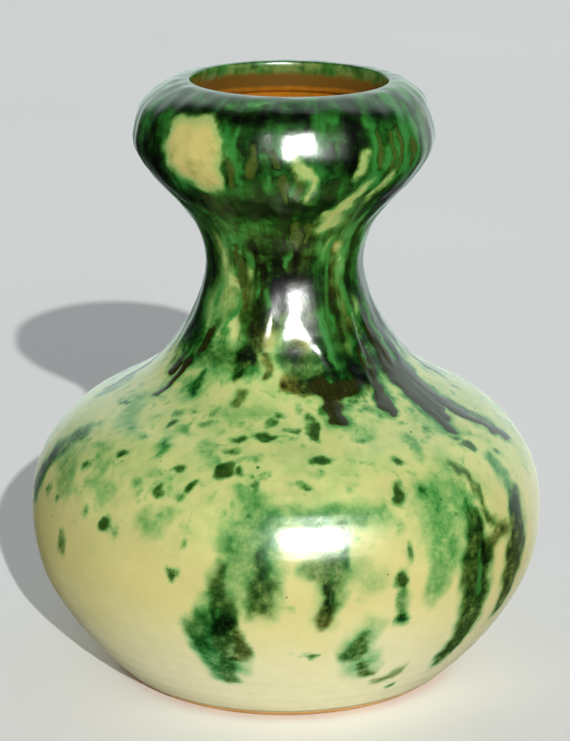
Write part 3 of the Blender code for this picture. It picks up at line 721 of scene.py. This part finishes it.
class Graph:
    """Short calls that add nodes to one material."""

    def __init__(self, name):
        self.material = bpy.data.materials.new(name)
        self.material.use_nodes = True
        self.nodes = self.material.node_tree.nodes
        self.links = self.material.node_tree.links
        self.shader = self.nodes["Principled BSDF"]

    def put(self, socket, value):
        if isinstance(value, bpy.types.NodeSocket):
            self.links.new(value, socket)
        elif isinstance(value, (tuple, list)) and len(value) == 3 and socket.type == "RGBA":
            socket.default_value = (*value, 1)
        else:
            socket.default_value = value

    def field(self, name, vector=False):
        node = self.nodes.new("ShaderNodeAttribute")
        node.attribute_name = name
        return node.outputs["Vector" if vector else "Fac"]

    def position(self):
        return self.nodes.new("ShaderNodeTexCoord").outputs["Object"]

    def level(self, place):
        """Height over the floor in mm."""
        parts = self.nodes.new("ShaderNodeSeparateXYZ")
        self.put(parts.inputs[0], place)
        return self.times(parts.outputs["Z"], 1 / MM)

    def math(self, operation, a, b=0.0, clamp=False):
        node = self.nodes.new("ShaderNodeMath")
        node.operation = operation
        node.use_clamp = clamp
        self.put(node.inputs[0], a)
        self.put(node.inputs[1], b)
        return node.outputs[0]

    def add(self, *values):
        total = values[0]
        for value in values[1:]:
            total = self.math("ADD", total, value)
        return total

    def times(self, a, b):
        return self.math("MULTIPLY", a, b)

    def less(self, a, b):
        return self.math("SUBTRACT", a, b)

    def step(self, value, low, high, to_low=0.0, to_high=1.0):
        node = self.nodes.new("ShaderNodeMapRange")
        node.interpolation_type = "SMOOTHSTEP"
        for i, item in enumerate((value, low, high, to_low, to_high)):
            self.put(node.inputs[i], item)
        return node.outputs[0]

    def stretch(self, vector, scale):
        node = self.nodes.new("ShaderNodeVectorMath")
        node.operation = "MULTIPLY"
        self.put(node.inputs[0], vector)
        self.put(node.inputs[1], scale)
        return node.outputs[0]

    def noise(self, vector, scale, detail=3.0, rough=0.55, distortion=0.0):
        """Noise centred on 0, from about -1 to 1."""
        node = self.nodes.new("ShaderNodeTexNoise")
        self.put(node.inputs["Vector"], vector)
        node.inputs["Scale"].default_value = scale
        node.inputs["Detail"].default_value = detail
        node.inputs["Roughness"].default_value = rough
        node.inputs["Distortion"].default_value = distortion
        return self.times(self.less(node.outputs["Fac"], 0.5), 2.6)

    def dots(self, vector, scale, size, share):
        """Small round dots in a share of a Voronoi texture's cells: 1 in a dot, 0 outside."""
        node = self.nodes.new("ShaderNodeTexVoronoi")
        self.put(node.inputs["Vector"], vector)
        node.inputs["Scale"].default_value = scale
        pick = self.nodes.new("ShaderNodeSeparateColor")
        self.links.new(node.outputs["Color"], pick.inputs[0])
        radius = self.times(pick.outputs[1], size)
        inside = self.step(self.less(radius, node.outputs["Distance"]), 0.0, size * 0.4)
        return self.times(inside, self.math("LESS_THAN", pick.outputs[0], share))

    def mix(self, share, a, b):
        node = self.nodes.new("ShaderNodeMix")
        node.data_type = "RGBA"
        self.put(node.inputs["Factor"], share)
        self.put(node.inputs["A"], a)
        self.put(node.inputs["B"], b)
        return node.outputs["Result"]

    def blend(self, share, a, b):
        """A plain number between a and b."""
        return self.add(a, self.times(share, self.less(b, a)))

    def absorb(self, colour, copper, manganese):
        """A colour seen through amounts of the two colourants."""
        parts = self.nodes.new("ShaderNodeSeparateColor")
        self.put(parts.inputs[0], colour)
        whole = self.nodes.new("ShaderNodeCombineColor")
        for i in range(3):
            thick = self.add(self.times(copper, COPPER[i]), self.times(manganese, MANGANESE[i]))
            kept = self.math("EXPONENT", self.times(thick, -1.0))
            self.links.new(self.times(parts.outputs[i], kept), whole.inputs[i])
        return whole.outputs[0]

    def bump(self, height, distance, strength=1.0):
        node = self.nodes.new("ShaderNodeBump")
        node.inputs["Strength"].default_value = strength
        node.inputs["Distance"].default_value = distance
        self.put(node.inputs["Height"], height)
        return node.outputs[0]

    def finish(self, colour, roughness, normal=None, ior=1.5):
        self.put(self.shader.inputs["Base Color"], colour)
        self.put(self.shader.inputs["Roughness"], roughness)
        self.put(self.shader.inputs["IOR"], ior)
        if normal is not None:
            self.put(self.shader.inputs["Normal"], normal)
        return self.material


# ---------------------------------------------------------------- materials

AMBER = (0.60, 0.215, 0.014)
AMBER_DEEP = (0.165, 0.083, 0.011)
CREAM_WARM = (0.58, 0.525, 0.20)
CREAM_GREEN = (0.57, 0.605, 0.215)
# painted reflection: a light, bluish cream that stands in for the bright floor mirrored on the lower belly
CREAM_FLOOR_SHEEN = (0.77, 0.73, 0.47)
CREAM_OCHRE = (0.66, 0.545, 0.19)
FOOT_CLAY = (0.76, 0.42, 0.10)
PINHOLE = (0.10, 0.05, 0.02)


def cream_ground(g, place):
    """The clear honey glaze over white slip: yellow-green above and warmer towards the foot, turning lighter towards
    the foot where a painted reflection of the bright floor is mixed in.
    """
    height = g.field("height")
    clouds = g.noise(place, 55, detail=4)
    fine = g.noise(place, 260, detail=3)
    greener = g.step(g.add(height, g.times(clouds, 16)), 42, 74)
    ground = g.mix(greener, CREAM_WARM, CREAM_GREEN)
    # painted reflection of the bright floor: the cream is mixed towards a light colour towards the foot
    floor_sheen = g.step(g.add(height, g.times(clouds, 8)), 40, 6)
    ground = g.mix(floor_sheen, ground, CREAM_FLOOR_SHEEN)
    ground = g.mix(g.step(g.field("cream"), 0.0, 4.0), ground, CREAM_OCHRE)
    shade = g.add(1.0, g.times(clouds, 0.07), g.times(fine, 0.05))
    return g.stretch(ground, shade)


def amber_ground(g, place):
    """The amber glaze of the cavity, with a darker ring a little under the lip."""
    clouds = g.noise(place, 90, detail=4)
    fine = g.noise(place, 500, detail=3)
    level = g.add(g.level(place), g.times(clouds, 1.2))
    ring = g.step(level, 143.0, 145.4)
    deep = g.step(g.add(clouds, g.times(fine, 0.4), g.times(ring, -1.8)), 0.6, -1.2)
    colour = g.mix(deep, AMBER, AMBER_DEEP)
    return g.mix(g.dots(place, 180, 0.06, 0.2), colour, PINHOLE)


def glaze_material():
    g = Graph("cream_and_green_glaze")
    place = g.position()
    flow = g.field("flow", vector=True)
    height = g.field("height")

    soft = g.noise(place, 150, detail=3)
    blot = g.noise(place, 330, detail=3, rough=0.6)
    edge = g.noise(place, 800, detail=3, rough=0.6)
    grain = g.noise(place, 1900, detail=2, rough=0.6)
    streak = g.noise(g.stretch(flow, (1.0, 1.0, 0.13)), 0.30, detail=3, rough=0.6)
    fine_streak = g.noise(g.stretch(flow, (1.0, 1.0, 0.22)), 0.85, detail=3, rough=0.6)
    ragged = g.add(g.times(blot, 0.7), g.times(edge, 0.45))

    # the running coat and its pale places
    in_coat = g.add(g.field("coat"), g.times(streak, 5.0), g.times(blot, 3.0), g.times(edge, 1.2))
    pale = g.field("pale")
    pale = g.step(g.add(pale, g.times(g.times(g.step(pale, 0.0, 0.3), g.add(ragged, streak)), 0.3)), 0.05, 0.85)
    cover = g.times(g.step(in_coat, -5.0, 6.0), g.less(1.0, g.times(pale, 0.9)))

    # how much of each colourant lies at a point
    on_bulb = g.step(height, 116, 128)
    coat_copper = g.add(g.blend(on_bulb, 1.05, 1.5), g.times(fine_streak, 0.12), g.times(soft, 0.35))
    patchy = g.step(g.add(streak, g.times(soft, 0.6), g.times(blot, 0.45)), -0.5, 0.75)
    coat_manganese = g.times(patchy, 1.4)
    uneven = g.add(1.0, g.times(blot, 0.85), g.times(edge, 0.45), g.times(soft, 0.35))
    copper = g.add(g.times(cover, coat_copper), g.times(g.field("copper"), uneven))
    manganese = g.add(g.times(cover, coat_manganese), g.times(g.field("manganese"), uneven))

    # soft mottles and spots
    upper = g.times(g.step(g.add(height, g.times(soft, 6)), 42, 66), g.step(height, 100, 88))
    mottle = g.step(g.add(soft, g.times(blot, 0.4)), -0.5, 0.9)
    blobs = g.noise(place, 240, detail=2, distortion=0.4)
    mottle_copper = g.add(g.times(mottle, 0.22), g.times(g.step(blobs, 0.20, 0.85), 0.62))
    copper = g.add(copper, g.times(upper, mottle_copper))
    manganese = g.add(manganese, g.times(g.times(upper, g.step(blobs, 0.55, 1.1)), 0.35))
    tiny = g.dots(place, 300, 0.26, 0.16)
    copper = g.add(copper, g.times(g.times(tiny, upper), 0.6))
    manganese = g.add(manganese, g.times(g.times(tiny, upper), 0.35))
    spot = g.field("spot")
    spot = g.add(spot, g.times(g.times(g.step(spot, 0.0, 0.35), ragged), 0.42))
    core = g.step(spot, 0.36, 0.95)
    copper = g.add(copper, g.times(g.step(spot, 0.06, 0.80), 0.85))
    manganese = g.add(manganese, g.times(core, g.add(1.0, g.times(edge, 0.4))))

    # crisp runs
    mark = g.step(g.add(g.field("dark"), g.times(ragged, 0.55)), -0.35, 0.5)
    halo = g.step(g.add(g.field("dark"), g.times(ragged, 0.8)), -1.8, 0.2)
    copper = g.add(g.blend(mark, copper, 0.35), g.times(g.times(halo, g.less(1.0, mark)), 0.5))
    manganese = g.blend(mark, manganese, g.add(2.25, g.times(fine_streak, 0.5), g.times(blot, 0.3)))

    finger = g.add(g.field("finger"), g.times(ragged, 1.3))
    rim = g.times(g.step(finger, -1.0, -0.3), g.step(finger, 0.6, 0.0))
    body = g.step(finger, -0.5, 0.6)
    copper = g.blend(body, copper, g.add(0.45, g.times(blot, 0.25)))
    manganese = g.add(g.blend(body, manganese, g.add(1.15, g.times(edge, 0.4))), g.times(rim, g.step(blot, -0.5, 0.6, 0.0, 0.8)))

    emerald = g.step(g.add(g.field("emerald"), g.times(ragged, 1.1)), -0.7, 0.8)
    copper = g.blend(emerald, copper, 1.30)
    manganese = g.blend(emerald, manganese, 0.03)

    window = g.step(g.add(g.field("cream"), g.times(ragged, 1.2), g.times(fine_streak, 0.3)), -1.1, 1.3)
    under_lip = g.step(g.add(g.field("inside"), g.times(ragged, 0.6)), 0.2, 1.4)
    window = g.math("MAXIMUM", window, g.times(under_lip, g.step(g.add(soft, g.times(blot, 0.6)), -0.7, 0.5)))
    smudge = g.step(g.add(soft, g.times(blot, 0.4)), -0.1, 1.0)
    narrow = g.step(g.field("cream"), 3.4, 1.2)
    copper = g.blend(window, copper, g.add(0.04, g.times(smudge, 0.18), g.times(narrow, 0.16)))
    manganese = g.blend(window, manganese, g.add(0.06, g.times(smudge, 0.30), g.times(under_lip, 0.22)))

    speckle = g.step(grain, -0.1, 0.9)
    copper = g.math("MAXIMUM", g.times(copper, g.add(1.0, g.times(grain, 0.10))), 0.0)
    manganese = g.math("MAXIMUM", g.times(manganese, g.less(1.0, g.times(speckle, 0.28))), 0.0)

    outside = g.absorb(cream_ground(g, place), copper, manganese)
    outside = g.mix(g.times(g.dots(place, 420, 0.16, 0.10), 0.75), outside, PINHOLE)

    # amber towards the cavity, bare orange at the foot
    inside = g.step(g.add(g.field("inside"), g.times(blot, 0.9)), 2.6, 4.6)
    colour = g.mix(inside, outside, amber_ground(g, place))
    foot = g.step(g.add(height, g.times(blot, 0.25)), 2.0, 1.4)
    colour = g.mix(foot, colour, FOOT_CLAY)

    darkness = g.step(g.add(copper, manganese), 0.4, 2.0)
    roughness = g.add(g.blend(darkness, 0.225, 0.215), g.times(g.math("ABSOLUTE", edge), 0.025))
    roughness = g.blend(foot, roughness, 0.6)
    surface = g.add(
        g.times(soft, 0.40), g.times(blot, 0.12), g.times(edge, 0.03),
        g.times(g.times(grain, darkness), 0.035),
    )
    return g.finish(colour, roughness, g.bump(surface, 0.00009), ior=1.52)


def amber_material():
    g = Graph("amber_liner_glaze")
    place = g.position()
    clouds = g.noise(place, 90, detail=4)
    fine = g.noise(place, 600, detail=3)
    normal = g.bump(g.add(g.times(clouds, 0.6), g.times(fine, 0.2)), 0.00010)
    return g.finish(amber_ground(g, place), g.add(0.16, g.times(fine, 0.03)), normal, ior=1.5)


def clay_material(name, light, dark, roughness):
    g = Graph(name)
    place = g.position()
    clouds = g.noise(place, 70, detail=5)
    grain = g.noise(place, 1400, detail=3, rough=0.7)
    colour = g.mix(g.step(g.add(clouds, g.times(grain, 0.5)), -0.9, 0.9), dark, light)
    colour = g.mix(g.dots(place, 900, 0.3, 0.10), colour, tuple(0.45 * c for c in dark))
    normal = g.bump(g.add(g.times(grain, 0.6), clouds), 0.00012)
    return g.finish(colour, g.add(roughness, g.times(grain, 0.05)), normal)


# ---------------------------------------------------------------- stage

CAMERA_BACK = 0.6630
CAMERA_HEIGHT = 0.2694
CAMERA_PITCH = 16.25
CAMERA_ROLL = -0.27
CAMERA_LENS = 133.4
SUN_WAY = (11.4, 24.1)
WINDOW_WAY = (12.0, 20.8)
HALO_WAY = (19.0, 19.0)


def direction(azimuth, elevation):
    """Unit vector from the vase towards an azimuth and an elevation in degrees."""
    a, e = math.radians(azimuth), math.radians(elevation)
    return Vector((math.sin(a) * math.cos(e), -math.cos(a) * math.cos(e), math.sin(e)))


def add_camera():
    data = bpy.data.cameras.new("camera")
    data.lens = CAMERA_LENS
    data.sensor_width = 36
    data.clip_start = 0.01
    camera = bpy.data.objects.new("camera", data)
    camera.location = (0, -CAMERA_BACK, CAMERA_HEIGHT)
    look = Euler((math.radians(90 - CAMERA_PITCH), 0, 0)).to_matrix()
    roll = Euler((0, 0, math.radians(CAMERA_ROLL))).to_matrix()
    camera.rotation_euler = (look @ roll).to_euler()
    bpy.context.scene.collection.objects.link(camera)
    bpy.context.scene.camera = camera


def add_floor():
    half = 4.0
    mesh = bpy.data.meshes.new("floor")
    corners = [(-half, -half, 0), (half, -half, 0), (half, half, 0), (-half, half, 0)]
    mesh.from_pydata(corners, [], [(0, 1, 2, 3)])
    floor = bpy.data.objects.new("floor", mesh)
    bpy.context.scene.collection.objects.link(floor)
    g = Graph("pale_floor")
    clouds = g.noise(g.position(), 3.0, detail=3)
    colour = g.mix(g.step(clouds, -1, 1), (0.86, 0.86, 0.845), (0.91, 0.91, 0.90))
    mesh.materials.append(g.finish(colour, 0.7))
    floor.visible_glossy = False


def add_sun(way, strength, angle):
    """Direct light that shapes and shades but is not mirrored in the glaze."""
    data = bpy.data.lights.new("sun", "SUN")
    data.energy = strength
    data.angle = math.radians(angle)
    sun = bpy.data.objects.new("sun", data)
    sun.rotation_euler = direction(*way).to_track_quat("Z", "Y").to_euler()
    sun.visible_glossy = False
    bpy.context.scene.collection.objects.link(sun)


def add_panel(name, way, distance, energy, size):
    """A bright pane that is only seen mirrored in the glaze."""
    data = bpy.data.lights.new(name, "AREA")
    data.energy = energy
    data.shape = "RECTANGLE"
    data.size, data.size_y = size
    panel = bpy.data.objects.new(name, data)
    way = direction(*way)
    panel.location = way * distance + Vector((0, 0, 0.08))
    panel.rotation_euler = way.to_track_quat("Z", "Y").to_euler()
    panel.visible_diffuse = False
    panel.visible_camera = False
    bpy.context.scene.collection.objects.link(panel)


def add_world():
    """A soft room, brighter behind the vase; its front half is dark in the glaze's reflections."""
    world = bpy.data.worlds.new("world")
    bpy.context.scene.world = world
    world.use_nodes = True
    nodes, links = world.node_tree.nodes, world.node_tree.links
    nodes.clear()
    place = nodes.new("ShaderNodeTexCoord")
    seen = nodes.new("ShaderNodeLightPath")

    def light(colour, way, low, high, dim, bright):
        along = nodes.new("ShaderNodeVectorMath")
        along.operation = "DOT_PRODUCT"
        links.new(place.outputs["Generated"], along.inputs[0])
        along.inputs[1].default_value = way
        ramp = nodes.new("ShaderNodeMapRange")
        ramp.interpolation_type = "SMOOTHSTEP"
        for i, value in enumerate((low, high, dim, bright)):
            ramp.inputs[i + 1].default_value = value
        links.new(along.outputs["Value"], ramp.inputs[0])
        background = nodes.new("ShaderNodeBackground")
        background.inputs[0].default_value = (*colour, 1)
        links.new(ramp.outputs[0], background.inputs[1])
        return background.outputs[0]

    def either(share, a, b):
        mixed = nodes.new("ShaderNodeMixShader")
        links.new(seen.outputs[share], mixed.inputs[0])
        links.new(a, mixed.inputs[1])
        links.new(b, mixed.inputs[2])
        return mixed.outputs[0]

    lit = light((0.93, 0.97, 1.0), (0, 1, 0), -0.45, 0.10, 0.12, 0.47)
    mirrored = light((0.86, 1.0, 0.97), (0.25, 1, 0.45), 0.56, 0.92, 0.015, 1.3)
    plain = light((0.90, 0.91, 0.91), (0, 0, 1), -2.0, -1.5, 1.0, 1.0)
    out = nodes.new("ShaderNodeOutputWorld")
    links.new(either("Is Camera Ray", either("Is Glossy Ray", lit, mirrored), plain), out.inputs[0])


def add_stage():
    add_world()
    add_floor()
    add_camera()
    add_sun(SUN_WAY, 2.9, 0.7)
    add_panel("window", WINDOW_WAY, 1.5, 62.0, (0.66, 0.66))
    add_panel("window_glow", HALO_WAY, 1.6, 9.0, (1.3, 0.9))
    bpy.context.scene.view_settings.view_transform = "Standard"


# ---------------------------------------------------------------- the vase

def dress():
    clay = clay_material("orange_clay", (0.78, 0.45, 0.13), (0.58, 0.28, 0.07), 0.7)
    luting = clay_material("luting_slip", (0.58, 0.33, 0.15), (0.42, 0.21, 0.09), 0.8)
    slip = clay_material("white_slip", (0.82, 0.78, 0.66), (0.70, 0.65, 0.52), 0.65)
    for piece, slot in (
        (glaze_skin(glaze_material()), "cream_glaze"),
        (liner_skin(amber_material()), "amber_glaze"),
        (clay_bowl(clay), "orange_clay"),
    ):
        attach(piece, "root")
    hidden = {
        "shoulder_dome": clay, "neck_collar": clay, "mouth_bulb": clay,
        "belly_seam_slip": luting, "neck_seam_slip": luting, "bulb_seam_slip": luting,
        "white_slip_coat": slip,
    }
    for node, material in hidden.items():
        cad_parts[node].data.materials.clear()
        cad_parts[node].data.materials.append(material)


dress()
add_stage()
